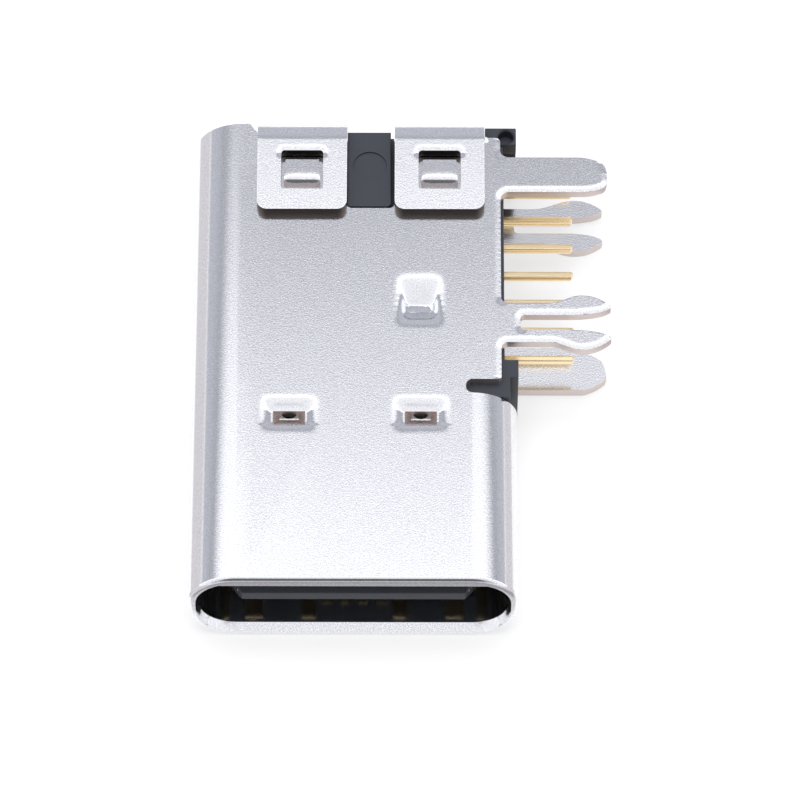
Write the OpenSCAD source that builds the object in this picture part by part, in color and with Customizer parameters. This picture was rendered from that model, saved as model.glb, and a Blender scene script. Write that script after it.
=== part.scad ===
// USB-C socket with a long body, for a board that stands beside it.
// The mouth faces -Y, the roof is +Z, and the legs and contact tails leave to +X.
// All the modules below draw about the middle of the mouth's lower edge; "placed" moves them to the part's
// own origin, the middle of the bottom of its bounding box.

/* [Shell tube] */
// Outside width of the tube
tube_w = 8.94; // [8.9:0.01:9]
// Outside height of the tube
tube_h = 3.16; // [3.16:0.01:3.26]
// Thickness of the shell's steel sheet
sheet_t = 0.3; // [0.25:0.01:0.3]
// Outside radius of the tube's four corners
corner_r = 1.3; // [1.2:0.05:1.4]
// Length of the shell, from its mouth to its rear face
shell_len = 14.5; // [14.5:0.05:16]
// Length of the closed section behind the mouth
mouth_len = 5.84; // [5.8:0.01:5.84]
// Width of the slot behind the closed section
slot_w = 0.43; // [0.35:0.01:0.5]

/* [Board side] */
// Board seat, measured from the middle of the tube
seat_x = 4.5; // [4.5:0.01:4.6]
// How far the legs reach past the board seat
leg_reach = 2.5; // [1.5:0.1:3.5]
// Distance of the front forked leg from the mouth
front_fork_y = 8.07; // [8:0.01:8.2]
// Distance of the rear forked leg from the mouth
rear_fork_y = 12.91; // [12.8:0.01:13]
// Front and rear edges of the plain leg in front
front_leg = [7.55, 8.92];
// Front and rear edges of the plain leg behind
rear_leg = [12.29, 13.41];
// Width of the front forked leg at its root
front_fork_w = 1.24; // [1.1:0.01:1.3]
// Width of the rear forked leg at its root
rear_fork_w = 1.12; // [1.1:0.01:1.3]
// Width of the front forked leg over its two bulges
front_bulge_w = 1.72; // [1.6:0.01:1.8]
// Width of the rear forked leg over its two bulges
rear_bulge_w = 1.68; // [1.6:0.01:1.8]
// Width of a forked leg's slot
fork_slot_w = 0.49; // [0.4:0.01:0.5]

/* [Rear flaps] */
// Width of a flap
flap_w = 2.5; // [2.3:0.05:2.5]
// Gap between the two flaps
flap_gap = 1.33; // [1.33:0.01:1.5]
// Distance of the flaps' front edges from the mouth
flap_front_y = 11.53; // [11.4:0.01:11.7]
// Outside radius of the flaps' bends
bend_r = 0.7; // [0.6:0.01:0.7]
// How much higher a flap is at its bend than at its front edge, which rests on the roof
flap_rise = 0.055; // [0.04:0.005:0.07]
// Width and length of the latch window in a flap
window = [1.17, 1.23];

/* [Contacts] */
// Number of contacts in each of the two rows
ways = 8; // [8]
// Distance between neighbouring tails of a row
tail_pitch = 0.9; // [0.88:0.01:0.9]
// Distance between the two rows of tails
row_gap = 0.8; // [0.7:0.05:0.9]
// Thickness of the contact strip
contact_t = 0.2; // [0.15:0.01:0.2]
// Width of a tail
tail_w = 0.19; // [0.15:0.01:0.2]
// How far the tails reach past the board seat
tail_reach = 1.55; // [1:0.05:2]

/* [Tongue] */
// Width of the tongue
tongue_w = 6.69; // [6.6:0.01:6.7]
// Thickness of the tongue
tongue_t = 0.7; // [0.68:0.01:0.72]
// Distance of the tongue's tip behind the mouth
tongue_y = 0.37; // [0.3:0.01:0.6]

/* [Hidden] */
$fn = 48;

cut = 1;                                    // how far a cutting shape runs past the metal
mid_z = tube_h / 2;
roof_z = tube_h - sheet_t;                  // underside of the roof
bore_w = tube_w - 2 * sheet_t;
bore_h = tube_h - 2 * sheet_t;
bore_r = corner_r - sheet_t;
lead_in = [0.1, 0.33];                      // coined edge inside the mouth: how wide and how deep
seam_x = -0.29;                             // the butt seam under the tube
seam_w = 0.03;
dovetails = [3.4, 9.6];                     // where the seam's two dovetails are

deck_x = 4.03;                              // right-hand edge of the flat roof and floor
slot_x = 3.05;                              // closed end of the slot
slot_r = 0.19;
slot_end_y = mouth_len + slot_w;
deck_end_y = shell_len - 0.45;              // rear edge of the roof beside the flaps
under_flap_y = shell_len - 0.6;             // rear edge of the roof under the flaps
flap_mid_x = 0.42;                          // middle of the pair of flaps
flap_xs = [for (s = [-1, 1]) flap_mid_x + s * (flap_gap + flap_w) / 2];
window_y = 12.815;                          // middle of the latch windows
leg_tip_x = seat_x + leg_reach;
fork_tip_x = leg_tip_x + 0.05;

// Latch bump under each window: width in front and behind, front and rear ends, and height
bump_w = [1.03, 0.93];
bump_y = [12.35, 12.62, 13.18];
bump_h = 0.24;
bump_gap = 0.22;                            // sheared opening behind the bump

// Dimples pressed into the roof: two pierced ones that earth the plug, and a trough that locks the housing
earth_dimples = [[-1.78, 5.12], [1.82, 5.12]];
earth_depth = 0.34;
lock_dimple = [1.79, 8.65];
lock_depth = 0.32;

housing_x = 4.12;                           // right-hand face of the plastic
base_y = mouth_len + 0.03;                  // front face of the block behind the tongue
rear_y = shell_len - sheet_t;               // rear face of the plastic, inside the flaps
ear_y = [6.5, 7.05];
corner_xs = [3.61, seat_x - 0.02];
corner_front_y = 13.95;
corner_top_z = roof_z + 0.1;
well = [4.19, 14.205];
key_x = [-0.235, 0.975];
key_front_y = 11.77;
key_top_z = tube_h + 0.04;
pocket = [[-3.7, 6.6, 0.71], [housing_x, 14.05, 2.45]];

plate_t = 0.12;
plate_w = 6.1;                              // width of the plate's front part
stub_y = [0.55, 0.67];                      // ends of the strip that carried the plate, flush with the tongue
pad_t = 0.1;                                // thickness of the ground pads
root_y = tongue_y + 4.48;                   // where the tongue thickens
root_t = 1.3;

// Contacts run back along the tongue, turn right, and leave the housing side by side. The contact whose pad
// is furthest right turns first.
pad_xs = [2.75, 1.25, 0.75, 0.25, -0.25, -0.75, -1.25, -2.75];
pad_ws = [0.5, 0.4, 0.28, 0.28, 0.28, 0.28, 0.4, 0.5];
pad_ys = [0.85, 0.85, 1.3, 1.3, 1.3, 1.3, 0.85, 0.85];
first_tail_y = 7.55;
lead_w = 0.28;
lead_end_x = 3.45;
jog_end_x = 3.95;
tail_tip_x = seat_x + tail_reach;
pad_z = mid_z + tongue_t / 2 - contact_t;
tail_z = mid_z + row_gap / 2 - contact_t / 2;
stagger = tail_pitch / 2;                   // the lower row's tails stand half a pitch further back

x_mid = (fork_tip_x - tube_w / 2) / 2;
y_mid = shell_len / 2;

steel = "#b9bbc0";
gold = "#d9b36a";
resin = "#2f3238";

module placed() translate([-x_mid, -y_mid, 0]) children();

// ---- helpers ----
module along_x(x0, x1) translate([x0, 0, 0]) rotate([90, 0, 90]) linear_extrude(x1 - x0) children();
module along_y(y0, y1) translate([0, y1, 0]) rotate([90, 0, 0]) linear_extrude(y1 - y0) children();
module layer(z0, z1) translate([0, 0, z0]) linear_extrude(z1 - z0) children();

module block(low, high) translate(low) cube(high - low);

// Rectangle from corner to corner, with one radius on all four corners
module rounded(low, high, r) {
    size = high - low;
    translate(low + [r, 0]) square([size.x - 2 * r, size.y]);
    translate(low + [0, r]) square([size.x, size.y - 2 * r]);
    for (x = [low.x + r, high.x - r], y = [low.y + r, high.y - r]) translate([x, y]) circle(r);
}

// The metal that rounds an inside corner: at is the corner, and dir points into the open side
module fillet(at, dir, r) translate(at) difference() {
    translate([min(0, dir.x * r), min(0, dir.y * r)]) square(r);
    translate(dir * r) circle(r);
}

// What an outside corner loses when it is rounded
module corner_cut(at, dir, r) translate(at) difference() {
    translate([min(0, dir.x * r), min(0, dir.y * r)] - 0.01 * [max(0, -dir.x), max(0, -dir.y)])
        square(r + 0.01);
    translate(dir * r) circle(r);
}

// A pit with four sloping sides, from its outline down to its floor
module pit(outline, floor_size, depth) {
    intersection() {
        along_y(-outline.y / 2, outline.y / 2)
            polygon([[-outline.x / 2, 0], [-floor_size.x / 2, -depth], [floor_size.x / 2, -depth],
                     [outline.x / 2, 0]]);
        along_x(-outline.x / 2, outline.x / 2)
            polygon([[-outline.y / 2, 0], [-floor_size.y / 2, -depth], [floor_size.y / 2, -depth],
                     [outline.y / 2, 0]]);
    }
}

// ---- shell ----
module tube_outline() rounded([-tube_w / 2, 0], [tube_w / 2, tube_h], corner_r);
module bore_outline() rounded([-bore_w / 2, sheet_t], [bore_w / 2, roof_z], bore_r);

// Coined lead-in along the floor and sides of the mouth: sloping flats with a cone in each corner. The roof
// has none.
module mouth_lead_in() intersection() {
    lead_in_all();
    block([-tube_w, -2 * cut, -cut], [tube_w, 2 * cut, roof_z]);
}

module lead_in_all() {
    flat_x = bore_w / 2 - bore_r;
    flat_z = bore_h / 2 - bore_r;
    wedge = [[-cut, 0], [-cut, lead_in[0]], [0, lead_in[0]], [lead_in[1], 0]];
    along_x(-flat_x, flat_x) translate([0, sheet_t]) mirror([0, 1]) polygon(wedge);
    for (side = [0, 1]) mirror([side, 0, 0]) translate([bore_w / 2, 0, mid_z]) rotate([0, 90, 0])
        along_x(-flat_z, flat_z) polygon(wedge);
    for (x = [-flat_x, flat_x], z = [mid_z - flat_z, mid_z + flat_z]) translate([x, 0, z]) rotate([-90, 0, 0])
        cylinder(h = lead_in[1], r1 = bore_r + lead_in[0], r2 = bore_r);
}

// One straight stretch of the seam's slit
module slit(a, b) {
    run = b - a;
    translate(a) rotate(atan2(run.y, run.x)) translate([-seam_w / 2, -seam_w / 2])
        square([norm(run) + seam_w, seam_w]);
}

// The butt seam, with dovetails that lock its two edges together
module seam() {
    neck = 0.25;
    head = 0.42;
    reach = 0.55;
    tails = [for (y = dovetails) each [[0, y - neck], [reach, y - head], [reach, y + head], [0, y + neck]]];
    path = concat([[0, -cut]], tails, [[0, flap_front_y], [0.7, flap_front_y + 0.9], [0.7, shell_len + cut]]);
    translate([seam_x, 0]) for (i = [1:len(path) - 1]) slit(path[i - 1], path[i]);
}

// Shoulders at a plain leg's tip: distances from the tip, with how far the edge has drawn in there
near_shoulder = [[0.68, 0], [0.585, 0.015], [0.44, 0.076], [0.32, 0.131], [0.2, 0.215], [0.11, 0.285],
                 [0.036, 0.35], [0, 0.45]];
far_shoulder = [[0.96, 0], [0.66, 0.11], [0.51, 0.2], [0.37, 0.275], [0.23, 0.355], [0.131, 0.434],
                [0.072, 0.552], [0.036, 0.713], [0, 0.9]];
rear_near_shoulder = [[0.6, 0], [0.45, 0.02], [0.3, 0.06], [0.15, 0.11], [0.085, 0.15], [0.03, 0.23],
                      [0, 0.34]];
rear_far_shoulder = [[0.72, 0], [0.5, 0.04], [0.32, 0.095], [0.18, 0.15], [0.1, 0.2], [0.03, 0.33],
                     [0, 0.48]];

// A plain leg between two edges, with the shoulders of its front and rear edge
module plain_leg(edges, shoulders) {
    root_fillet = 0.25;
    difference() {
        translate([deck_x - 0.1, edges[0]]) square([leg_tip_x - deck_x + 0.1, edges[1] - edges[0]]);
        for (i = [0, 1]) translate([leg_tip_x, edges[i]]) mirror([0, i]) {
            line = shoulders[i];
            last = line[len(line) - 1];
            polygon(concat([[0.01, -0.01], [-line[0].x, -0.01]], [for (p = line) [-p.x, p.y]],
                           [[0.01, last.y]]));
        }
    }
    for (i = [0, 1]) fillet([deck_x, edges[i]], [1, 2 * i - 1], root_fillet);
}

// One prong of a fork: straight at its root, a bulge that springs in the board's slot, and a blunt tip
prong_tip = [[0.05, 0.565], [0.015, 0.53], [0, 0.495], [0.015, 0.46], [0.06, 0.43]];
prong_inner = [[0.14, 0.385], [0.26, 0.34], [0.436, 0.3], [0.64, 0.268], [0.84, 0.252], [1.1, 0.245]];
module prong(side, tip_x, root, bulge) {
    crest = 0.81;                           // distance from the crest of the bulge to the tip
    rise = bulge - root < 0.27 ? 0.87 : 1.12;
    end = prong_tip[0].y;
    outer = concat(
        [for (t = [0:0.125:1])
            [tip_x - crest - rise * (1 - t), root + (bulge - root) * (1 - cos(180 * t)) / 2]],
        [for (t = [0.15:0.15:0.9])
            [tip_x - 0.05 - (crest - 0.05) * (1 - t), end + (bulge - end) * (1 - pow(t, 2.2))]]);
    tip = [for (p = concat(prong_tip, prong_inner)) [tip_x - p.x, p.y]];
    half_slot = fork_slot_w / 2;
    slot_side = [for (x = [1.2, 0.2]) [seat_x + x, half_slot]];
    outline = concat([[seat_x + 0.2, root]], outer, tip, slot_side);
    polygon([for (p = outline) [p.x, side * p.y]]);
}

module forked_leg(y, tip_x, root_w, bulge_w) {
    slot_root_x = tip_x - 2.49;
    root_fillet = 0.2;
    translate([0, y]) {
        for (s = [-1, 1]) prong(s, tip_x, root_w / 2, bulge_w / 2);
        difference() {
            translate([deck_x - 0.1, -root_w / 2]) square([seat_x + 0.3 - deck_x + 0.1, root_w]);
            rounded([slot_root_x, -fork_slot_w / 2], [seat_x + cut, fork_slot_w / 2], 0.12);
        }
    }
    for (s = [-1, 1]) fillet([deck_x, y + s * root_w / 2], [1, s], root_fillet);
}

// Flat stretch of roof or floor on the board side, without its legs
module deck(rear_y) difference() {
    translate([1, slot_end_y]) square([deck_x - 1, rear_y - slot_end_y]);
    corner_cut([deck_x, slot_end_y], [-1, 1], 0.1);
    corner_cut([deck_x, rear_y], [-1, -1], 0.12);
}

module roof_plan() {
    deck(deck_end_y);
    plain_leg(rear_leg, [rear_near_shoulder, rear_far_shoulder]);
    forked_leg(front_fork_y, fork_tip_x, front_fork_w, front_bulge_w);
}

module floor_plan() {
    deck(deck_end_y);
    plain_leg(front_leg, [near_shoulder, far_shoulder]);
    forked_leg(rear_fork_y, fork_tip_x - 0.1, rear_fork_w, rear_bulge_w);
}

// What is missing from the tube's right side: the slot, and everything behind it
module side_cut() {
    translate([slot_x + slot_r, mouth_len]) square([tube_w, slot_w]);
    translate([slot_x, mouth_len + slot_r]) square([slot_r, slot_w - 2 * slot_r]);
    for (y = [mouth_len + slot_r, slot_end_y - slot_r]) translate([slot_x + slot_r, y]) circle(slot_r);
    translate([tube_w / 2 - corner_r, slot_end_y - 0.01]) square([tube_w, shell_len]);
}

// Rear edge of the roof: full length at the left, shorter under the flaps
module roof_rear_cut() {
    relief = 2.98;
    polygon([[-relief, shell_len + cut], [-relief, shell_len], [-relief + 0.4, under_flap_y],
             [corner_xs[0] - 0.03, under_flap_y], [corner_xs[0] - 0.03, deck_end_y],
             [tube_w, deck_end_y], [tube_w, shell_len + cut]]);
    rounded([flap_xs[0] + flap_w / 2 - 0.01, key_front_y - 0.03], [flap_xs[1] - flap_w / 2, shell_len], 0.15);
}

// Rear edge of the floor: the flaps leave it, and it stops short beside and between them
module floor_rear_cut() {
    for (x = [[-2.98, flap_xs[0] - flap_w / 2], [flap_xs[0] + flap_w / 2, flap_xs[1] - flap_w / 2],
              [flap_xs[1] + flap_w / 2, tube_w]])
        translate([x[0], under_flap_y]) square([x[1] - x[0], cut + 1]);
}

// Side view of a flap: up from the floor, over the back, and forward along the roof
module flap_profile() {
    module bend(z, quarter) translate([shell_len - bend_r, z]) intersection() {
        difference() {
            circle(bend_r);
            circle(bend_r - sheet_t);
        }
        translate([0, quarter < 0 ? -bend_r : 0]) square(bend_r);
    }
    flap_z = tube_h + flap_rise;
    bend_z = flap_z + sheet_t - bend_r;
    translate([under_flap_y - 0.5, 0]) square([shell_len - bend_r - under_flap_y + 0.5, sheet_t]);
    bend(bend_r, -1);
    translate([shell_len - sheet_t, bend_r]) square([sheet_t, bend_z - bend_r]);
    bend(bend_z, 1);
    polygon([[flap_front_y, tube_h], [flap_front_y, tube_h + sheet_t],
             [shell_len - bend_r, flap_z + sheet_t], [shell_len - bend_r, flap_z]]);
}

module flap(x) difference() {
    intersection() {
        along_x(x - flap_w / 2, x + flap_w / 2) flap_profile();
        layer(-cut, tube_h + cut) {
            rounded([x - flap_w / 2, flap_front_y], [x + flap_w / 2, shell_len - 1], 0.28);
            translate([x - flap_w / 2, shell_len - 1.5]) square([flap_w, 1.5]);
        }
    }
    layer(tube_h, tube_h + cut) rounded([x, window_y] - window / 2, [x, window_y] + window / 2, 0.1);
}

// Latch bump, sheared free behind and sloping down in front
module bump(x) intersection() {
    along_x(x - bump_w[0], x + bump_w[0])
        polygon([[bump_y[0], roof_z + 0.1], [bump_y[0], tube_h], [bump_y[0] + 0.08, tube_h + 0.1],
                 [bump_y[1] - 0.1, tube_h + bump_h], [bump_y[2], tube_h + bump_h],
                 [bump_y[2], roof_z + 0.1]]);
    layer(roof_z, tube_h + cut)
        polygon([[x - bump_w[0] / 2, bump_y[0]], [x + bump_w[0] / 2, bump_y[0]],
                 [x + bump_w[1] / 2, bump_y[2]], [x - bump_w[1] / 2, bump_y[2]]]);
}

module bump_hollow(x) {
    inner_w = bump_w[1] - 0.2;
    block([x - inner_w / 2, bump_y[1], roof_z - cut], [x + inner_w / 2, bump_y[2] + 0.01, roof_z + bump_h]);
    layer(roof_z - cut, tube_h + cut)
        translate([x - bump_w[1] / 2, bump_y[2]]) square([bump_w[1], bump_gap]);
}

// Earth dimple: a shallow sink, and in it a steep pit whose back wall is upright
module earth_dimple() {
    translate([0, 0.08, 0]) pit([1.5, 0.96], [0.96, 0.52], 0.13);
    pit_y = [-0.33, 0.19];
    intersection() {
        along_x(-1, 1) polygon([[pit_y[0], 0], [pit_y[0] + 0.36, -earth_depth], [pit_y[1], -earth_depth],
                                [pit_y[1], 0]]);
        along_y(-1, 1) polygon([[-0.55, 0], [-0.26, -earth_depth], [0.26, -earth_depth], [0.55, 0]]);
    }
}

// The small crescent hole at the foot of an earth dimple's back wall
module earth_hole() intersection() {
    translate([0, 0.19 + 0.12, -1]) cylinder(r = 0.24, h = 1);
    block([-1, -1, -1], [1, 0.19, 0]);
}

module earth_bulge() translate([0, 0.02, 0]) pit([1.3, 0.9], [0.8, 0.5], earth_depth - sheet_t + 0.14);

// Lock dimple: a short trough across the roof, steeper in front than behind
module lock_trough(grow = 0) {
    half_w = 0.49 + grow / 2;
    intersection() {
        along_x(-2, 2) polygon([[-0.54 - grow / 2, 0], [-0.05 - grow / 2, -lock_depth],
                                [0.05 + grow / 2, -lock_depth], [0.79 + grow / 2, 0]]);
        along_y(-2, 2) polygon([[-half_w, 0], [-half_w + 0.09, -lock_depth], [half_w - 0.09, -lock_depth],
                                [half_w, 0]]);
    }
}

module shell() color(steel) placed() difference() {
    union() {
        difference() {
            along_y(0, shell_len) tube_outline();
            along_y(-cut, shell_len + cut) bore_outline();
            mouth_lead_in();
            layer(-cut, tube_h + cut) side_cut();
        }
        layer(roof_z, tube_h) difference() {
            roof_plan();
            roof_rear_cut();
        }
        layer(0, sheet_t) floor_plan();
        for (x = flap_xs) {
            flap(x);
            bump(x);
        }
        for (at = earth_dimples) translate([at.x, at.y, roof_z]) earth_bulge();
        translate([lock_dimple.x, lock_dimple.y, roof_z]) lock_trough(sheet_t);
    }
    layer(roof_z - cut, tube_h) difference() {
        roof_rear_cut();
        translate([-tube_w, 0]) square([tube_w - 2.98, shell_len * 2]);
    }
    layer(-cut, sheet_t) floor_rear_cut();
    layer(-cut, sheet_t + 0.1) seam();
    for (x = flap_xs) bump_hollow(x);
    for (at = earth_dimples) translate([at.x, at.y, tube_h]) {
        earth_dimple();
        earth_hole();
    }
    translate([lock_dimple.x, lock_dimple.y, tube_h]) lock_trough();
}

// ---- plastic ----
module tongue_plan() {
    chamfer = [0.32, 0.5];
    polygon([[-tongue_w / 2, base_y + 0.1], [-tongue_w / 2, tongue_y + chamfer.y],
             [-tongue_w / 2 + chamfer.x, tongue_y], [tongue_w / 2 - chamfer.x, tongue_y],
             [tongue_w / 2, tongue_y + chamfer.y], [tongue_w / 2, base_y + 0.1]]);
}

// Notches in the tongue's sides that the plug's latches drop into
module latch_notches() for (s = [-1, 1])
    translate([s * tongue_w / 2, 2.05]) rounded([-0.35, -0.45], [0.35, 0.45], 0.1);

module tongue() {
    half = tongue_t / 2;
    slope = [0.3, 0.17];
    intersection() {
        layer(mid_z - half, mid_z + half) tongue_plan();
        along_x(-tongue_w, tongue_w)
            polygon([[tongue_y, mid_z - half + slope.y], [tongue_y + slope.x, mid_z - half],
                     [base_y + 0.1, mid_z - half], [base_y + 0.1, mid_z + half],
                     [tongue_y + slope.x, mid_z + half], [tongue_y, mid_z + half - slope.y]]);
    }
    block([-tongue_w / 2 + 0.05, root_y, mid_z - root_t / 2],
          [tongue_w / 2 - 0.05, base_y + 0.1, mid_z + root_t / 2]);
}

// Section of the block behind the tongue: round at the left like the bore, flat at the board side
module body_section() {
    rounded([-bore_w / 2, sheet_t], [bore_w / 2 - 1, roof_z], bore_r);
    translate([0, sheet_t]) square([housing_x, bore_h]);
}

module key() difference() {
    layer(roof_z - 0.05, key_top_z) {
        rounded([key_x[0], key_front_y], [key_x[1], rear_y], 0.11);
        translate([key_x[0], rear_y - 0.5]) square([key_x[1] - key_x[0], 0.5]);
    }
    translate([0.39, 13.09, key_top_z - 0.05]) cylinder(r = 0.465, h = cut);
}

// Blind hole in the rear corner, with a broken edge
module corner_well() translate([well.x, well.y, corner_top_z]) {
    translate([0, 0, -0.34]) cylinder(r = 0.22, h = cut);
    translate([0, 0, -0.04]) cylinder(r1 = 0.22, r2 = 0.27, h = 0.05);
}

// What the plastic's rear edges lose so that they clear the inside of the flaps' bends
module bend_relief() {
    low = bend_r - sheet_t + 0.02;
    high = 0.12;
    for (x = flap_xs) along_x(x - flap_w / 2 - 0.02, x + flap_w / 2 + 0.02) {
        polygon([[rear_y - low - 0.1, sheet_t - 0.1], [rear_y + 0.1, sheet_t - 0.1],
                 [rear_y + 0.1, sheet_t + low + 0.1]]);
        polygon([[rear_y - high - 0.02, roof_z + 0.02], [rear_y + 0.1, roof_z + 0.02],
                 [rear_y + 0.1, roof_z - high - 0.1]]);
    }
}

module housing() color(resin) placed() difference() {
    union() {
        along_y(base_y, rear_y) body_section();
        block([2, base_y, sheet_t], [4.27, ear_y[1], roof_z]);
        block([2, ear_y[0], sheet_t], [seat_x, ear_y[1], roof_z]);
        block([corner_xs[0], corner_front_y, sheet_t], [corner_xs[1], shell_len, roof_z]);
        block([corner_xs[0], deck_end_y + 0.03, roof_z - 0.1], [corner_xs[1], shell_len, corner_top_z]);
        block([deck_x + 0.03, corner_front_y, roof_z - 0.1], [corner_xs[1], shell_len, corner_top_z]);
        tongue();
        key();
    }
    block(pocket[0], pocket[1] + [cut, 0, 0]);
    layer(0, tube_h) latch_notches();
    mid_plate_form();
    for (i = [0:ways - 1], upper = [true, false]) contact(i, upper);
    corner_well();
    bend_relief();
    translate([lock_dimple.x, lock_dimple.y, roof_z]) lock_trough(sheet_t);
}

// Half of the moulded carrier that holds one row of contacts
module carrier(upper) difference() {
    block([pocket[0].x, pocket[0].y, upper ? mid_z : pocket[0].z],
          [pocket[1].x, pocket[1].y, upper ? pocket[1].z : mid_z]);
    mid_plate_form();
    for (i = [0:ways - 1]) contact(i, upper);
}

module upper_carrier() color(resin) placed() carrier(true);
module lower_carrier() color(resin) placed() carrier(false);

// ---- metal inside ----
module mid_plate_form() layer(mid_z - plate_t / 2, mid_z + plate_t / 2) difference() {
    union() {
        intersection() {
            tongue_plan();
            union() {
                translate([-plate_w / 2, tongue_y + 0.3]) square([plate_w, base_y]);
                translate([-tongue_w, tongue_y + 1.2]) square([2 * tongue_w, base_y]);
                translate([-tongue_w, stub_y[0]]) square([2 * tongue_w, stub_y[1] - stub_y[0]]);
            }
        }
        translate([-tongue_w / 2, base_y - 0.1]) square([tongue_w, 13.2 - base_y + 0.1]);
    }
    latch_notches();
}

module mid_plate() color(steel) placed() mid_plate_form();

// Ground pad: a plate on the tongue's root, a lip against the block behind it, and a skirt at each side
module emc_pad() {
    top = mid_z + root_t / 2;
    half_w = tongue_w / 2 - 0.05;
    block([-half_w - pad_t, root_y + 0.05, top], [half_w + pad_t, base_y, top + pad_t]);
    block([-half_w + 0.3, base_y - pad_t, top], [half_w - 0.3, base_y, top + 0.42]);
    for (s = [0, 1]) mirror([s, 0, 0])
        block([half_w, root_y + 0.05, mid_z + tongue_t / 2], [half_w + pad_t, base_y, top + pad_t]);
}

module emc_pad_upper() color(steel) placed() emc_pad();
module emc_pad_lower() color(steel) placed() translate([0, 0, tube_h]) mirror([0, 0, 1]) emc_pad();

// One contact: a pad strip on the tongue, a step up to the level of the tails, a lead that turns right, and
// the tail. The lower row is its mirror image, with a jog that carries its tails half a pitch back.
module contact(i, upper) {
    x = pad_xs[i];
    half_w = pad_ws[i] / 2;
    y = first_tail_y + i * tail_pitch;
    jog = upper ? 0 : stagger;
    step = [base_y + 0.1, base_y + 0.4];
    translate([0, 0, upper ? 0 : tube_h]) mirror([0, 0, upper ? 0 : 1]) {
        along_x(x - half_w, x + half_w)
            polygon([[pad_ys[i], pad_z], [step[0], pad_z], [step[1], tail_z], [y + lead_w / 2, tail_z],
                     [y + lead_w / 2, tail_z + contact_t], [step[1], tail_z + contact_t],
                     [step[0], pad_z + contact_t], [pad_ys[i], pad_z + contact_t]]);
        layer(tail_z, tail_z + contact_t)
            polygon([[x - half_w, y - lead_w / 2], [lead_end_x, y - lead_w / 2],
                     [jog_end_x, y + jog - tail_w / 2], [tail_tip_x - 0.05, y + jog - tail_w / 2],
                     [tail_tip_x, y + jog - tail_w / 4], [tail_tip_x, y + jog + tail_w / 4],
                     [tail_tip_x - 0.05, y + jog + tail_w / 2], [jog_end_x, y + jog + tail_w / 2],
                     [lead_end_x, y + lead_w / 2], [x - half_w, y + lead_w / 2]]);
    }
}

module contact_piece(i, upper) color(gold) placed() contact(i, upper);

shell();
housing();
upper_carrier();
lower_carrier();
mid_plate();
emc_pad_upper();
emc_pad_lower();
for (i = [1:ways]) contact_piece(i - 1, true);
for (i = [1:ways]) contact_piece(i - 1, false);
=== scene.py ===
"""USB-C socket with a long folded shell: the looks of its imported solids, laid out as an add-on."""

import math

import bmesh
import bpy
from bpy.props import FloatProperty, FloatVectorProperty, PointerProperty
from mathutils import Matrix, Vector
from mathutils.kdtree import KDTree


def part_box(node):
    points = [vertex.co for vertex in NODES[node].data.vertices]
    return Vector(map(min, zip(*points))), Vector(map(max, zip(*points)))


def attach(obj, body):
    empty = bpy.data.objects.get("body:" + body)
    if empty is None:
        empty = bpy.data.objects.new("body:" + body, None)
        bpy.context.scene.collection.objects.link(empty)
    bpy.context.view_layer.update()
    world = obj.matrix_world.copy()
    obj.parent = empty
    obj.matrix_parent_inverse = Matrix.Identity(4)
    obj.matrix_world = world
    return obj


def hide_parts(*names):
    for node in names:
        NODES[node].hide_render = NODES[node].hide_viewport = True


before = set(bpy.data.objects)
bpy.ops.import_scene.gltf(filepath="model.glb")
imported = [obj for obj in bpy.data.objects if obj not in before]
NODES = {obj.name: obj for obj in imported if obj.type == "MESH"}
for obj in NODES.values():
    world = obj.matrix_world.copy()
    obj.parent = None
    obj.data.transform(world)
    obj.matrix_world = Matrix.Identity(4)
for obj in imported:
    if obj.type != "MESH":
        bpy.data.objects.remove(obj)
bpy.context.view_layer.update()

bl_info = {
    "name": "USB-C socket with a long shell",
    "version": (1, 0, 0),
    "blender": (4, 5, 0),
    "location": "3D View > Sidebar > Socket",
    "description": "Dresses the packed socket: punched nickel shell, moulded plastic and gold contacts",
    "category": "Object",
}

TO_MM = 1000.0
BODY = "root"
CONTACT_NAMES = sorted(name for name in NODES if name.startswith("contact_"))
CARRIER_NAMES = ["upper_carrier", "lower_carrier"]
PLATE_NAMES = ["mid_plate", "emc_pad_upper", "emc_pad_lower"]

# Places in millimetres. The shell's box starts at the tube's left side, the mouth and the underside.
shell_low, shell_high = (Vector(corner) * TO_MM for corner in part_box("shell"))
TUBE_W = 8.94
SHEET = 0.3
ROOF_Z = 3.16
TUBE_X = shell_low.x + TUBE_W / 2
MOUTH_Y = shell_low.y
REAR_Y = shell_high.y
DECK_X = TUBE_X + 4.03
# Pressed forms, from the tube's middle and the mouth: place, near and far corner around it, smoothing
PITS = [(1.79, 8.65, (-0.78, -0.8), (0.78, 1.1), 50),
        (-1.78, 5.12, (-0.95, -0.6), (0.95, 0.85), 40), (1.82, 5.12, (-0.95, -0.6), (0.95, 0.85), 40),
        (-1.495, 12.8, (-0.585, -0.585), (0.585, 0.375), 40),
        (2.335, 12.8, (-0.585, -0.585), (0.585, 0.375), 40)]
EARTH_PITS = PITS[1:3]
# Middle of the flaps' rear bends, as seen from the side, and their outside radius
BEND_Y, BEND_Z, BEND_R = 13.8, 2.815, 0.7


def linear(hex_colour):
    """An sRGB hex colour as the linear RGB that a shader takes."""
    digits = hex_colour.lstrip("#")
    levels = [int(digits[i:i + 2], 16) / 255 for i in (0, 2, 4)]
    return tuple(v / 12.92 if v <= 0.04045 else ((v + 0.055) / 1.055) ** 2.4 for v in levels)


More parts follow.
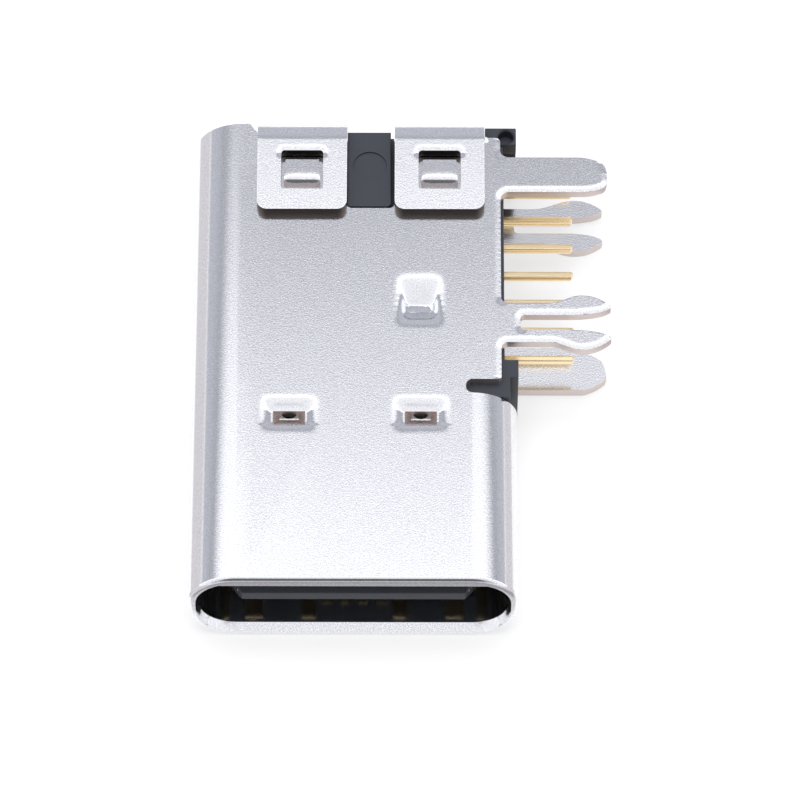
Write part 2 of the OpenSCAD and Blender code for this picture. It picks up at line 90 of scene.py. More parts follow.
# ---- settings ----
class SocketSizes(bpy.types.PropertyGroup):
    """Sizes of the small forms that punching and moulding leave"""
    leg_roll_width: FloatProperty(
        name="Leg edge width", description="How far in from a leg's edge the punch has rounded the sheet",
        default=0.18, min=0.05, max=0.25, unit="NONE")
    leg_roll_drop: FloatProperty(
        name="Leg edge drop", description="How far a leg's edge is drawn down by the punch",
        default=0.028, min=0.01, max=0.1, unit="NONE")
    window_roll_width: FloatProperty(
        name="Window edge width", description="How far out from a window's edge the punch has rounded the flap",
        default=0.16, min=0.05, max=0.2, unit="NONE")
    window_roll_drop: FloatProperty(
        name="Window edge drop", description="How far a window's edge is drawn down by the punch",
        default=0.03, min=0.01, max=0.1, unit="NONE")
    sheet_round: FloatProperty(
        name="Sheet edge", description="Radius of the sheet's cut edges",
        default=0.035, min=0.01, max=0.1, unit="NONE")
    mouth_round: FloatProperty(
        name="Mouth edge", description="Radius of the mouth's outer edge",
        default=0.14, min=0.01, max=0.15, unit="NONE")
    plastic_round: FloatProperty(
        name="Plastic edges", description="Radius of the moulded edges",
        default=0.025, min=0.005, max=0.05, unit="NONE")
    contact_round: FloatProperty(
        name="Contact edges", description="Radius of the contacts' edges",
        default=0.04, min=0.005, max=0.06, unit="NONE")


class SocketFinishes(bpy.types.PropertyGroup):
    """Colours of the socket's materials"""
    nickel: FloatVectorProperty(
        name="Nickel", description="Colour of the shell's nickel plating", subtype="COLOR",
        default=linear("#f3f4f5"), min=0, max=1)
    sheared: FloatVectorProperty(
        name="Sheared edge", description="Colour of the sheet's bare sheared edges", subtype="COLOR",
        default=linear("#d8ccc7"), min=0, max=1)
    # Painted shade: the flaps' cut edges get this dark colour in place of the shade that falls in the gap under the
    # flaps.
    flap_edge_shade: FloatVectorProperty(
        name="Flap edge shade", description="Colour of the flaps' cut edges, darkened as painted shade", subtype="COLOR",
        default=linear("#5f5650"), min=0, max=1)
    resin: FloatVectorProperty(
        name="Plastic", description="Colour of the moulded plastic", subtype="COLOR",
        default=linear("#31353c"), min=0, max=1)
    gold: FloatVectorProperty(
        name="Gold", description="Colour of the contacts' gold plating", subtype="COLOR",
        default=linear("#ffe8bc"), min=0, max=1)
    steel: FloatVectorProperty(
        name="Steel", description="Colour of the plates inside", subtype="COLOR",
        default=linear("#c9c8c5"), min=0, max=1)


# ---- materials ----
def add_node(tree, kind, settings=None, inputs=None, links=()):
    """Adds one node: settings are its attributes, inputs its socket values, links (output, input name)."""
    node = tree.nodes.new(kind)
    for key, value in (settings or {}).items():
        setattr(node, key, value)
    for key, value in (inputs or {}).items():
        node.inputs[key].default_value = value
    for output, key in links:
        tree.links.new(output, node.inputs[key])
    return node


def new_material(name):
    material = bpy.data.materials.get(name) or bpy.data.materials.new(name)
    material.use_nodes = True
    material.node_tree.nodes.clear()
    return material, material.node_tree


def per_metre(size_mm):
    """Scale of a noise whose largest lumps measure this many millimetres."""
    return TO_MM / size_mm


def finish_material(tree, shader):
    add_node(tree, "ShaderNodeOutputMaterial", links=[(shader.outputs[0], "Surface")])


def satin_nickel(colour):
    """Nickel plated over rolled and drawn steel: a soft mirror with the fine orange peel of the bath."""
    material, tree = new_material("satin_nickel_plate")
    place = add_node(tree, "ShaderNodeTexCoord").outputs["Object"]
    # The peel's real lumps are about 0.02 mm wide. They are drawn twice as wide so that they show.
    peel = add_node(tree, "ShaderNodeTexNoise", {}, {"Scale": per_metre(0.042), "Detail": 2.0, "Roughness": 0.6},
                    [(place, "Vector")])
    relief = add_node(tree, "ShaderNodeBump", {}, {"Strength": 1.0, "Distance": 0.0000013},
                      [(peel.outputs[0], "Height")])
    # Single crystals are finer still, and are drawn about 0.03 mm wide.
    crystals = add_node(tree, "ShaderNodeTexNoise", {}, {"Scale": per_metre(0.03), "Detail": 1.0},
                        [(place, "Vector")])
    share = add_node(tree, "ShaderNodeMapRange", {}, {"From Min": 0.35, "From Max": 0.65},
                     [(crystals.outputs[0], "Value")])
    speckle = add_node(tree, "ShaderNodeMix", {"data_type": "RGBA"},
                       {6: (*(c * 0.87 for c in colour), 1), 7: (*(min(c * 1.09, 1) for c in colour), 1)},
                       [(share.outputs[0], 0)])
    shader = add_node(tree, "ShaderNodeBsdfPrincipled", {}, {"Metallic": 1.0, "Roughness": 0.13},
                      [(speckle.outputs[2], "Base Color"), (relief.outputs[0], "Normal")])
    finish_material(tree, shader)
    return material


def sheared_sheet(colour):
    """The sheet's cut edge: one satin band with a fine rough relief, thinly plated and slightly pink."""
    material, tree = new_material("sheared_nickel_edge")
    place = add_node(tree, "ShaderNodeTexCoord").outputs["Object"]
    tear = add_node(tree, "ShaderNodeTexNoise", {}, {"Scale": per_metre(0.12), "Detail": 3.0},
                    [(place, "Vector")])
    relief = add_node(tree, "ShaderNodeBump", {}, {"Strength": 0.5, "Distance": 0.000004},
                      [(tear.outputs[0], "Height")])
    shader = add_node(tree, "ShaderNodeBsdfPrincipled", {},
                      {"Base Color": (*colour, 1), "Metallic": 1.0, "Roughness": 0.4},
                      [(relief.outputs[0], "Normal")])
    finish_material(tree, shader)
    return material


def shaded_flap_edge(colour):
    """The latch flaps' cut edges: matt and brownish, darkened as painted shade of the gap under the flaps."""
    material, tree = new_material("flap_edge_painted_shade")
    place = add_node(tree, "ShaderNodeTexCoord").outputs["Object"]
    tear = add_node(tree, "ShaderNodeTexNoise", {}, {"Scale": per_metre(0.1), "Detail": 3.0},
                    [(place, "Vector")])
    relief = add_node(tree, "ShaderNodeBump", {}, {"Strength": 0.6, "Distance": 0.000005},
                      [(tear.outputs[0], "Height")])
    # The dark base colour is painted shade of the gap under the flaps, not a colour of the steel.
    shader = add_node(tree, "ShaderNodeBsdfPrincipled", {},
                      {"Base Color": (*colour, 1), "Metallic": 1.0, "Roughness": 0.45},
                      [(relief.outputs[0], "Normal")])
    finish_material(tree, shader)
    return material


def moulded_resin(colour):
    """Glass-filled liquid crystal polymer, moulded: dark grey, with a dull skin of fine lumps."""
    material, tree = new_material("moulded_lcp_resin")
    place = add_node(tree, "ShaderNodeTexCoord").outputs["Object"]
    skin = add_node(tree, "ShaderNodeTexNoise", {}, {"Scale": per_metre(0.15), "Detail": 4.0},
                    [(place, "Vector")])
    relief = add_node(tree, "ShaderNodeBump", {}, {"Strength": 0.3, "Distance": 0.000004},
                      [(skin.outputs[0], "Height")])
    shader = add_node(tree, "ShaderNodeBsdfPrincipled", {},
                      {"Base Color": (*colour, 1), "Roughness": 0.5, "IOR": 1.55},
                      [(relief.outputs[0], "Normal")])
    finish_material(tree, shader)
    return material


def gold_plate(colour):
    """Thin gold over nickel on drawn bronze strip: a warm soft mirror with faint lines along the strip."""
    material, tree = new_material("gold_plate_on_bronze")
    place = add_node(tree, "ShaderNodeTexCoord").outputs["Object"]
    stretch = add_node(tree, "ShaderNodeMapping", {"vector_type": "POINT"}, {"Scale": (0.08, 1.0, 1.0)},
                       [(place, "Vector")])
    lines = add_node(tree, "ShaderNodeTexNoise", {}, {"Scale": per_metre(0.042), "Detail": 2.0},
                     [(stretch.outputs[0], "Vector")])
    relief = add_node(tree, "ShaderNodeBump", {}, {"Strength": 0.3, "Distance": 0.000002},
                      [(lines.outputs[0], "Height")])
    shader = add_node(tree, "ShaderNodeBsdfPrincipled", {},
                      {"Base Color": (*colour, 1), "Metallic": 1.0, "Roughness": 0.2},
                      [(relief.outputs[0], "Normal")])
    finish_material(tree, shader)
    return material


def bright_steel(colour):
    """Bright rolled stainless strip, as the plates inside are stamped from."""
    material, tree = new_material("rolled_stainless_strip")
    shader = add_node(tree, "ShaderNodeBsdfPrincipled", {},
                      {"Base Color": (*colour, 1), "Metallic": 1.0, "Roughness": 0.3})
    finish_material(tree, shader)
    return material


# ---- shapes ----
def merged_copy(name):
    """A node's mesh in millimetres, with its loose triangles joined and its flat faces made whole."""
    bm = bmesh.new()
    bm.from_mesh(NODES[name].data)
    bmesh.ops.scale(bm, vec=(TO_MM, TO_MM, TO_MM), verts=bm.verts)
    bmesh.ops.remove_doubles(bm, verts=bm.verts, dist=0.003)
    bmesh.ops.dissolve_degenerate(bm, edges=bm.edges, dist=0.001)
    bmesh.ops.dissolve_limit(bm, angle_limit=math.radians(0.5), use_dissolve_boundaries=False,
                             verts=bm.verts, edges=bm.edges)
    return bm


def smooth_by_angle(bm, degrees):
    """Smooth faces, with the edges that turn further than this left crisp."""
    limit = math.radians(degrees)
    bm.normal_update()
    for face in bm.faces:
        face.smooth = True
    for edge in bm.edges:
        edge.smooth = len(edge.link_faces) == 2 and edge.calc_face_angle(0) < limit


def finished_piece(bm, name, node, materials):
    """Makes the object that stands for a node, from a bmesh in millimetres."""
    bmesh.ops.scale(bm, vec=(1 / TO_MM, 1 / TO_MM, 1 / TO_MM), verts=bm.verts)
    mesh = bpy.data.meshes.new(name)
    bm.to_mesh(mesh)
    bm.free()
    for material in materials:
        mesh.materials.append(material)
    piece = bpy.data.objects.new(name, mesh)
    bpy.context.scene.collection.objects.link(piece)
    weighted = piece.modifiers.new("flat faces stay flat", "WEIGHTED_NORMAL")
    weighted.keep_sharp = True
    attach(piece, BODY)
    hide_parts(node)
    return piece


def parts_of(faces):
    """Faces with their edges and vertices, as bisecting them wants."""
    faces = list(faces)
    return faces + list({e for f in faces for e in f.edges}) + list({v for f in faces for v in f.verts})


def grid_cut(bm, faces, low, high, step):
    """Cuts these faces into a grid between two corners seen from above. Returns all the faces they became."""
    geom = parts_of(bmesh.ops.triangulate(bm, faces=list(faces))["faces"])
    for axis in (0, 1):
        normal = Vector((1, 0, 0) if axis == 0 else (0, 1, 0))
        count = max(1, round((high[axis] - low[axis]) / step))
        for i in range(count + 1):
            co = normal * (low[axis] + (high[axis] - low[axis]) * i / count)
            geom = bmesh.ops.bisect_plane(bm, geom=geom, dist=0.0005, plane_co=co, plane_no=normal)["geom"]
    return [item for item in geom if isinstance(item, bmesh.types.BMFace)]


def within(face, low, high):
    """Whether all of a face's corners lie between two corners, seen from above."""
    return all(low[0] <= v.co.x <= high[0] and low[1] <= v.co.y <= high[1] for v in face.verts)


def box_cut(bm, faces, low, high):
    """Cuts faces along the sides of a box seen from above. Returns those inside it."""
    geom = parts_of(faces)
    for co, normal in (((low[0], 0, 0), (1, 0, 0)), ((high[0], 0, 0), (1, 0, 0)),
                       ((0, low[1], 0), (0, 1, 0)), ((0, high[1], 0), (0, 1, 0))):
        geom = bmesh.ops.bisect_plane(bm, geom=geom, dist=0.0005, plane_co=co, plane_no=normal)["geom"]
    low, high = (low[0] - 0.002, low[1] - 0.002), (high[0] + 0.002, high[1] + 0.002)
    return [f for f in geom if isinstance(f, bmesh.types.BMFace) and within(f, low, high)]


def rim_points(edges, spacing=0.02):
    """Points along edges, close together."""
    points = []
    for edge in edges:
        a, b = (vert.co for vert in edge.verts)
        count = max(1, math.ceil((b - a).length / spacing))
        points.extend(a.lerp(b, i / count) for i in range(count + 1))
    return points


def roll_edges(verts, points, width, drop):
    """Draws the sheet's outer face down towards its cut edges, as a punch does."""
    if not points:
        return
    tree = KDTree(len(points))
    for i, point in enumerate(points):
        tree.insert((point.x, point.y, 0), i)
    tree.balance()
    for vert in verts:
        distance = tree.find((vert.co.x, vert.co.y, 0))[2]
        if distance < width:
            vert.co.z -= drop * (1 - distance / width) ** 2


def is_sheared(face):
    """Whether a face of the shell is a cut edge of the sheet: 1 where bright, 2 on the flaps' edges, which take a
    dark colour as painted shade.
    """
    middle = face.calc_center_median()
    x, y, z = middle.x - TUBE_X, middle.y - MOUTH_Y, middle.z
    heights = [vert.co.z for vert in face.verts]
    across = abs(x - 0.42) - 1.915
    # Index 2 marks the flaps' side and front edges for the dark colour that paints in their shade.
    if y > 11.4 and abs(face.normal.x) > 0.99 and abs(across) < 1.3:
        return 2 if abs(across) > 1.1 else 1
    if abs(face.normal.z) > 0.3 or max(heights) - min(heights) > SHEET + 0.04:
        return 1 if abs(face.normal.y) > 0.9 and 5.8 < y < 6.3 else 0
    if y > 11.4 and z > ROOF_Z - 0.01 and y < 13.79:
        return 2 if face.normal.y < 0 or y < 12 else 1
    if y < 0.02 or 7.8 < y < 9.8 and z > ROOF_Z - 0.4 and abs(x - PITS[0][0]) < 0.8:
        return 0
    if x < -2.99 and y < 13.9 or x > 3.0 and y < 5.8 or y > 14.3 and x > -2.9:
        return 0
    return 1


def close_seam(bm, step):
    """Draws the butt seam's two sides together, which leaves a hairline."""
    walls = [f for f in bm.faces if abs(f.normal.z) < 0.05 and -0.8 < f.calc_center_median().x - TUBE_X < 0.8
             and all(v.co.z < SHEET + 0.002 for v in f.verts)
             and 0.02 < f.calc_center_median().y - MOUTH_Y < 13.8]
    sides = {}
    for face in walls:
        for vert in face.verts:
            kept = sides.setdefault(vert, [])
            if all(face.normal.dot(other) < 0.7 for other in kept):
                kept.append(face.normal.copy())
    for vert, normals in sides.items():
        vert.co += sum(normals, Vector()) * step


def falloff(value, start, end):
    """1 up to the start and 0 past the end, with a straight way down between them."""
    return min(max((end - value) / (end - start), 0), 1)


def soften(bm, verts, rounds):
    """Rounds pressed forms off."""
    for _ in range(rounds):
        bmesh.ops.smooth_vert(bm, verts=verts, factor=0.5, use_axis_x=True, use_axis_y=True, use_axis_z=True)


def formed_shell(sizes):
    """The shell with its punched edges rounded over, its pits softened and its mouth broken."""
    bm = merged_copy("shell")
    bm.normal_update()
    for face in bm.faces:
        face.material_index = is_sheared(face)
    close_seam(bm, 0.0145)
    for vert in bm.verts:
        if abs(vert.co.y - MOUTH_Y - 0.33) < 0.02:
            vert.co.y = MOUTH_Y + 0.25
    bm.normal_update()

    def at(vert):
        return vert.co.x - TUBE_X, vert.co.y - MOUTH_Y, vert.co.z

    def on_flap(vert):
        x, y, z = at(vert)
        outer = (y - BEND_Y) ** 2 + (z - BEND_Z) ** 2 > (BEND_R - 0.02) ** 2
        return -1.6 - 1.2 < x < 3.7 and (z > ROOF_Z + SHEET - 0.01 or y > BEND_Y - 0.01 and z > 1 and outer)

    def on_leg(vert):
        x, y, z = at(vert)
        return x > 3.7 and y > 6.3 and (z > ROOF_Z - SHEET - 0.01 or z < SHEET + 0.01)

    def in_earth_hole(vert):
        x, y, z = at(vert)
        return any(abs(x - pit[0]) < 0.56 and -0.35 < y - pit[1] < 0.2 and z < ROOF_Z - 0.05 for pit in EARTH_PITS)

    sheet_edges = [e for e in bm.edges if len(e.link_faces) == 2 and e.calc_face_angle_signed(0) > 1.0
                   and (e.link_faces[0].material_index == 0) != (e.link_faces[1].material_index == 0)]
    leg_edges = [e for e in sheet_edges if all(on_leg(v) for v in e.verts)]
    flap_edges = [e for e in sheet_edges if all(on_flap(v) for v in e.verts)]
    window_edges = [e for e in flap_edges if all(12.1 < at(v)[1] < 13.55 and 0.9 < abs(at(v)[0] - 0.42) < 3.0
                                                 for v in e.verts)]
    deck_rim = rim_points([e for e in leg_edges if all(at(v)[2] > ROOF_Z - 0.01 for v in e.verts)
                           and all(f.normal.y < 0.5 for f in e.link_faces)])
    window_rim = rim_points([e for e in window_edges if all(at(v)[1] > 12.33 for v in e.verts)])
    mouth = [e for e in bm.edges if all(abs(at(v)[1]) < 0.002 for v in e.verts) and e.calc_face_angle(0) > 1
             and any((v.co - Vector((TUBE_X, MOUTH_Y, ROOF_Z / 2))).dot(f.normal) > 0.5
                     for v in e.verts for f in e.link_faces if abs(f.normal.y) < 0.5)]
    for edges, radius, steps in ((leg_edges + flap_edges, sizes.sheet_round, 3),
                                 (mouth, sizes.mouth_round, 6)):
        bevelled = bmesh.ops.bevel(bm, geom=edges, offset=radius, segments=steps, affect="EDGES",
                                   profile=0.5, material=-1, clamp_overlap=True)
        for face in bevelled["faces"]:
            face.material_index = 0
    bm.normal_update()

    roof = [f for f in bm.faces if f.normal.z > 0.999 and abs(f.calc_center_median().z - ROOF_Z) < 0.002]
    deck = box_cut(bm, roof, (DECK_X - 0.4, MOUTH_Y + 6.2), (TUBE_X + 7.1, MOUTH_Y + 14.5))
    deck = grid_cut(bm, deck, (DECK_X - 0.35, MOUTH_Y + 6.3), (TUBE_X + 7.05, MOUTH_Y + 14.05), 0.045)
    roll_edges([v for v in bm.verts if on_leg(v) and ROOF_Z - 0.04 < v.co.z < ROOF_Z + 0.01], deck_rim,
               sizes.leg_roll_width, sizes.leg_roll_drop)

    flaps = [f for f in bm.faces if f.normal.z > 0.99 and f.calc_center_median().z > ROOF_Z + 0.27
             and max(v.co.y for v in f.verts) < MOUTH_Y + 13.81]
    flaps = grid_cut(bm, flaps, (TUBE_X - 2.8, MOUTH_Y + 11.5), (TUBE_X + 3.6, MOUTH_Y + 13.8), 0.045)
    roll_edges([v for v in bm.verts if on_flap(v) and v.co.z > ROOF_Z + SHEET - 0.05 and at(v)[1] < 13.75],
               window_rim, sizes.window_roll_width, sizes.window_roll_drop)
    bm.normal_update()

    for x, y, low, high, rounds in PITS:
        steepest = 0.04 if y == PITS[0][1] else 0.2
        low = (TUBE_X + x + low[0], MOUTH_Y + y + low[1])
        high = (TUBE_X + x + high[0], MOUTH_Y + y + high[1])
        top = [f for f in bm.faces if f.normal.z > steepest and f.calc_center_median().z > ROOF_Z - 0.2
               and f.calc_center_median().z < ROOF_Z + 0.29]
        near = [f for f in top if min(v.co.x for v in f.verts) < high[0] and max(v.co.x for v in f.verts) > low[0]
                and min(v.co.y for v in f.verts) < high[1] and max(v.co.y for v in f.verts) > low[1]]
        cut = grid_cut(bm, box_cut(bm, near, low, high), low, high, 0.035)
        bmesh.ops.remove_doubles(bm, verts=list({v for f in cut if f.is_valid for v in f.verts}), dist=0.006)
        bm.normal_update()
        cut = [f for f in bm.faces if within(f, (low[0] - 0.002, low[1] - 0.002), (high[0] + 0.002, high[1] + 0.002))
               and f.normal.z > steepest and ROOF_Z - 0.35 < f.calc_center_median().z < ROOF_Z + 0.27]
        inner = [v for v in {v for f in cut for v in f.verts} if not in_earth_hole(v)
                 and low[0] + 0.04 < v.co.x < high[0] - 0.04 and low[1] + 0.04 < v.co.y < high[1] - 0.04
                 and all(f.normal.z > steepest or f.calc_area() < 0.00005 for f in v.link_faces)]
        soften(bm, inner, rounds)
    for x, y, *_ in EARTH_PITS:
        for vert in bm.verts:
            dx, dy = at(vert)[0] - x, at(vert)[1] - y
            if abs(dx) < 1.0 and -0.68 < dy < 1.0 and ROOF_Z - 0.25 < vert.co.z < ROOF_Z:
                kept = 0.3 if dy < -0.3 else falloff(dy, 0.2, 0.66)
                vert.co.z = ROOF_Z - (ROOF_Z - vert.co.z) * kept * falloff(abs(dx), 0.55, 0.9)
    for vert in bm.verts:
        x, y, z = at(vert)
        y, z = y - BEND_Y, z - BEND_Z
        reach = math.hypot(y, z)
        if y > 0 and z > 0 and BEND_R - SHEET - 0.03 < reach < BEND_R + 0.01 and -2.9 < x < 3.65:
            more = 0.08 * (2 * y * z / reach ** 2) ** 2
            vert.co.y += y * more
            vert.co.z += z * more
    bm.normal_update()
    for face in bm.faces:
        middle = face.calc_center_median()
        x, y = middle.x - TUBE_X, middle.y - MOUTH_Y
        if ROOF_Z - 0.6 < middle.z < ROOF_Z - 0.04 and face.normal.z < 0.75 and any(
                abs(x - pit[0]) < 0.66 and -0.4 < y - pit[1] < 0.25 for pit in EARTH_PITS):
            face.material_index = 1
    smooth_by_angle(bm, 38)
    for edge in bm.edges:
        if all(abs(at(v)[1] - 0.25) < 0.004 and v.co.z < ROOF_Z - SHEET + 0.01 for v in edge.verts):
            edge.smooth = False
    return bm


def moulded_housing(sizes):
    """The housing with its outer edges rounded as the mould leaves them."""
    bm = merged_copy("housing")
    bm.normal_update()

    def shows(vert):
        x, y, z = vert.co.x - TUBE_X, vert.co.y - MOUTH_Y, vert.co.z
        return z > ROOF_Z - 0.25 and y > 11 or x > 4.1 or y < 0.95 and abs(x) < 3.4

    edges = [e for e in bm.edges if e.calc_face_angle_signed(0) > math.radians(40)
             and e.calc_length() > 0.06 and all(shows(v) for v in e.verts)]
    bmesh.ops.bevel(bm, geom=edges, offset=sizes.plastic_round, segments=2, affect="EDGES", profile=0.5,
                    material=-1, clamp_overlap=False)
    smooth_by_angle(bm, 35)
    return bm


def plated_contact(name, sizes):
    """One contact with its drawn edges rounded."""
    bm = merged_copy(name)
    bm.normal_update()
    edges = [e for e in bm.edges if e.calc_face_angle(0) > math.radians(60)]
    bmesh.ops.bevel(bm, geom=edges, offset=sizes.contact_round, segments=3, affect="EDGES", profile=0.5,
                    material=-1, clamp_overlap=False)
    smooth_by_angle(bm, 40)
    return bm


def dress(name, material):
    """Gives a CAD node its material."""
    data = NODES[name].data
    data.materials.clear()
    data.materials.append(material)


# ---- operators ----
class SOCKET_OT_shell(bpy.types.Operator):
    """Makes the nickel-plated shell with its punched edges"""
    bl_idname = "socket.shell"
    bl_label = "Shell"

    def execute(self, context):
        sizes, finishes = context.scene.socket_sizes, context.scene.socket_finishes
        finished_piece(formed_shell(sizes), "shell_formed", "shell",
                       [satin_nickel(finishes.nickel), sheared_sheet(finishes.sheared), shaded_flap_edge(finishes.flap_edge_shade)])
        return {"FINISHED"}


class SOCKET_OT_housing(bpy.types.Operator):
    """Makes the moulded housing and dresses the two carriers behind it"""
    bl_idname = "socket.housing"
    bl_label = "Housing"

    def execute(self, context):
        sizes, finishes = context.scene.socket_sizes, context.scene.socket_finishes
        resin = moulded_resin(finishes.resin)
        finished_piece(moulded_housing(sizes), "housing_moulded", "housing", [resin])
        for name in CARRIER_NAMES:
            dress(name, resin)
        return {"FINISHED"}


class SOCKET_OT_contacts(bpy.types.Operator):
    """Makes the two rows of gold-plated contacts"""
    bl_idname = "socket.contacts"
    bl_label = "Contacts"

    def execute(self, context):
        sizes, finishes = context.scene.socket_sizes, context.scene.socket_finishes
        gold = gold_plate(finishes.gold)
        for name in CONTACT_NAMES:
            finished_piece(plated_contact(name, sizes), "plated_" + name, name, [gold])
        return {"FINISHED"}


class SOCKET_OT_plates(bpy.types.Operator):
    """Dresses the steel plates inside"""
    bl_idname = "socket.plates"
    bl_label = "Plates inside"

    def execute(self, context):
        steel = bright_steel(context.scene.socket_finishes.steel)
        for name in PLATE_NAMES:
            dress(name, steel)
        return {"FINISHED"}


def place_camera():
    """A long lens above the mouth, looking down at sixty degrees."""
    pitch, turn, roll = (math.radians(v) for v in (60.288, 0.135, 0.0035))
    ahead = Vector((-math.sin(turn) * math.cos(pitch), math.cos(turn) * math.cos(pitch), -math.sin(pitch)))
    right = ahead.cross(Vector((0, 0, 1))).normalized()
    up = right.cross(ahead)
    axes = Matrix((right, up, -ahead)).transposed().to_4x4() @ Matrix.Rotation(roll, 4, "Z")
    data = bpy.data.cameras.new("camera")
    data.sensor_width = 36.0
    data.lens = 269.98
    data.clip_start, data.clip_end = 0.01, 10
    obj = bpy.data.objects.new("camera", data)
    obj.matrix_world = Matrix.Translation(Vector((0.150, -82.824, 145.396)) / TO_MM) @ axes
    bpy.context.scene.collection.objects.link(obj)
    bpy.context.scene.camera = obj


def lay_floor():
    """A pale tabletop just under the socket, evenly bright, that still takes its shadow."""
    bm = bmesh.new()
    bmesh.ops.create_grid(bm, x_segments=1, y_segments=1, size=2.0)
    bmesh.ops.translate(bm, vec=(0, 0, -0.00002), verts=bm.verts)
    mesh = bpy.data.meshes.new("tabletop")
    bm.to_mesh(mesh)
    bm.free()
    material, tree = new_material("matt_white_card")
    paths = add_node(tree, "ShaderNodeLightPath")
    seen = add_node(tree, "ShaderNodeMath", {"operation": "MAXIMUM"}, {},
                    [(paths.outputs["Is Camera Ray"], 0), (paths.outputs["Is Glossy Ray"], 1)])
    seen = add_node(tree, "ShaderNodeMath", {"operation": "MAXIMUM"}, {},
                    [(seen.outputs[0], 0), (paths.outputs["Is Transmission Ray"], 1)])
    share = add_node(tree, "ShaderNodeMath", {"operation": "MULTIPLY"}, {1: 0.6}, [(seen.outputs[0], 0)])
    card = add_node(tree, "ShaderNodeBsdfDiffuse", {}, {"Color": (*linear("#f8f8f8"), 1)})
    glow = add_node(tree, "ShaderNodeEmission", {}, {"Color": (1, 1, 1, 1), "Strength": 1.0})
    mix = add_node(tree, "ShaderNodeMixShader", {}, {},
                   [(share.outputs[0], 0), (card.outputs[0], 1), (glow.outputs[0], 2)])
    finish_material(tree, mix)
    mesh.materials.append(material)
    floor = bpy.data.objects.new("tabletop", mesh)
    bpy.context.scene.collection.objects.link(floor)


# Grey cards on the tabletop: name, colour, and the near and far corner of each of their sheets, in metres
CARDS = [("light_grey_cards", "#dcd9de", [((-0.060, -0.060), (-0.0075, 0.060)), ((0.0070, -0.060), (0.060, 0.060)),
                                          ((-0.0075, -0.0086), (0.0070, -0.0079))]),
         ("grey_card", "#a5a3a8", [((-0.0075, -0.060), (0.0070, -0.0086))])]


def lay_cards():
    """Grey cards that lie beside and before the socket and show only in its metal."""
    for name, colour, sheets in CARDS:
        bm = bmesh.new()
        for low, high in sheets:
            made = bmesh.ops.create_grid(bm, x_segments=1, y_segments=1, size=0.5)["verts"]
            bmesh.ops.scale(bm, vec=(high[0] - low[0], high[1] - low[1], 1), verts=made)
            bmesh.ops.translate(bm, vec=((low[0] + high[0]) / 2, (low[1] + high[1]) / 2, 0.0001), verts=made)
        mesh = bpy.data.meshes.new(name)
        bm.to_mesh(mesh)
        bm.free()
        material, tree = new_material(name)
        finish_material(tree, add_node(tree, "ShaderNodeEmission", {}, {"Color": (*linear(colour), 1)}))
        mesh.materials.append(material)
        card = bpy.data.objects.new(name, mesh)
        bpy.context.scene.collection.objects.link(card)
        card.visible_camera = card.visible_diffuse = card.visible_shadow = card.visible_transmission = False


# Brightness of the studio across the lower edge of its overhead light: place across the edge, and colour
STUDIO_RAMP = [(-0.26, "#a6a7b0"), (-0.12, "#a2a3ac"), (-0.022, "#7b7c85"), (0.038, "#fafaff"),
               (0.16, "#f6f6fb"), (0.32, "#dcdce0"), (0.72, "#d6d6db"), (0.9, "#a9a9af")]
OVERHEAD = 1.42
DARK_ROOM = 0.36


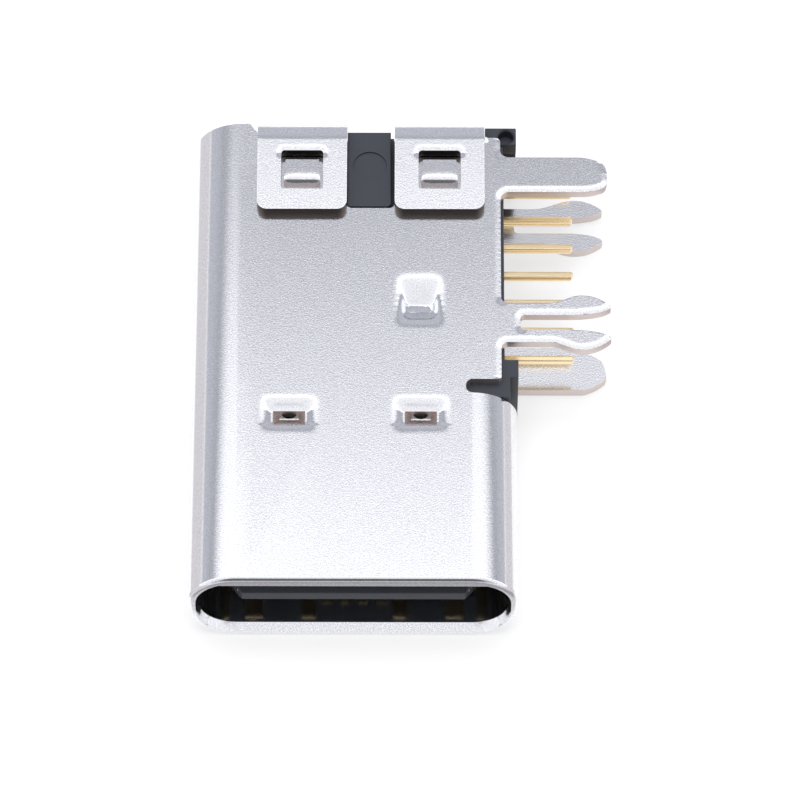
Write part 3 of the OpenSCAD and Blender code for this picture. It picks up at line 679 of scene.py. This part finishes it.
def light_studio():
    """A tent of soft light: bright overhead, greyer towards the back, with a dark room in front."""
    world = bpy.data.worlds.new("soft_tent")
    bpy.context.scene.world = world
    world.use_nodes = True
    tree = world.node_tree
    tree.nodes.clear()
    way = add_node(tree, "ShaderNodeTexCoord").outputs["Generated"]
    parts = add_node(tree, "ShaderNodeSeparateXYZ", links=[(way, 0)])
    across = add_node(tree, "ShaderNodeVectorMath", {"operation": "DOT_PRODUCT"},
                      {1: (0, -math.sin(math.radians(60)), math.cos(math.radians(60)))}, [(way, 0)])
    side = add_node(tree, "ShaderNodeMath", {"operation": "ABSOLUTE"}, {}, [(parts.outputs["X"], 0)])
    place = add_node(tree, "ShaderNodeMath", {"operation": "MULTIPLY_ADD"}, {1: 0.18},
                     [(side.outputs[0], 0), (across.outputs["Value"], 2)])
    low, high = STUDIO_RAMP[0][0], STUDIO_RAMP[-1][0]
    along = add_node(tree, "ShaderNodeMapRange", {}, {"From Min": low, "From Max": high},
                     [(place.outputs[0], "Value")])
    ramp = add_node(tree, "ShaderNodeValToRGB", links=[(along.outputs[0], "Fac")])
    stops = ramp.color_ramp.elements
    while len(stops) < len(STUDIO_RAMP):
        stops.new(0.5)
    for stop, (where, colour) in zip(stops, STUDIO_RAMP):
        stop.position = (where - low) / (high - low)
        stop.color = (*linear(colour), 1)
    low_front = add_node(tree, "ShaderNodeVectorMath", {"operation": "DOT_PRODUCT"},
                         {1: (0, -math.cos(math.radians(38)), math.sin(math.radians(38)))}, [(way, 0)])
    level = add_node(tree, "ShaderNodeMapRange", {"interpolation_type": "SMOOTHSTEP"},
                     {"From Min": 0.82, "From Max": 0.95, "To Min": OVERHEAD, "To Max": DARK_ROOM},
                     [(low_front.outputs["Value"], "Value")])
    background = add_node(tree, "ShaderNodeBackground", {}, {},
                          [(ramp.outputs[0], "Color"), (level.outputs[0], "Strength")])
    add_node(tree, "ShaderNodeOutputWorld", links=[(background.outputs[0], "Surface")])
    lamp = bpy.data.lights.new("overhead_fill", "AREA")
    lamp.shape, lamp.size, lamp.energy = "SQUARE", 0.3, 1.2
    obj = bpy.data.objects.new("overhead_fill", lamp)
    obj.location = (0, 0, 0.4)
    obj.visible_glossy = False
    bpy.context.scene.collection.objects.link(obj)


class SOCKET_OT_stage(bpy.types.Operator):
    """Lays the tabletop, lights it and sets the camera"""
    bl_idname = "socket.stage"
    bl_label = "Stage"

    def execute(self, context):
        context.scene.view_settings.view_transform = "Standard"
        place_camera()
        lay_floor()
        lay_cards()
        light_studio()
        return {"FINISHED"}


class SOCKET_PT_panel(bpy.types.Panel):
    """Lists the socket's settings and steps"""
    bl_idname = "SOCKET_PT_panel"
    bl_label = "USB-C socket"
    bl_space_type = "VIEW_3D"
    bl_region_type = "UI"
    bl_category = "Socket"

    def draw(self, context):
        for settings in (context.scene.socket_sizes, context.scene.socket_finishes):
            for name in settings.__annotations__:
                self.layout.prop(settings, name)
        for step in STEPS:
            self.layout.operator(step.bl_idname)


STEPS = (SOCKET_OT_shell, SOCKET_OT_housing, SOCKET_OT_contacts, SOCKET_OT_plates, SOCKET_OT_stage)
CLASSES = (SocketSizes, SocketFinishes, *STEPS, SOCKET_PT_panel)


def register():
    for cls in CLASSES:
        bpy.utils.register_class(cls)
    bpy.types.Scene.socket_sizes = PointerProperty(type=SocketSizes)
    bpy.types.Scene.socket_finishes = PointerProperty(type=SocketFinishes)


def unregister():
    del bpy.types.Scene.socket_finishes
    del bpy.types.Scene.socket_sizes
    for cls in reversed(CLASSES):
        bpy.utils.unregister_class(cls)


def main():
    register()
    bpy.ops.socket.shell()
    bpy.ops.socket.housing()
    bpy.ops.socket.contacts()
    bpy.ops.socket.plates()
    bpy.ops.socket.stage()


if __name__ == "__main__":
    main()
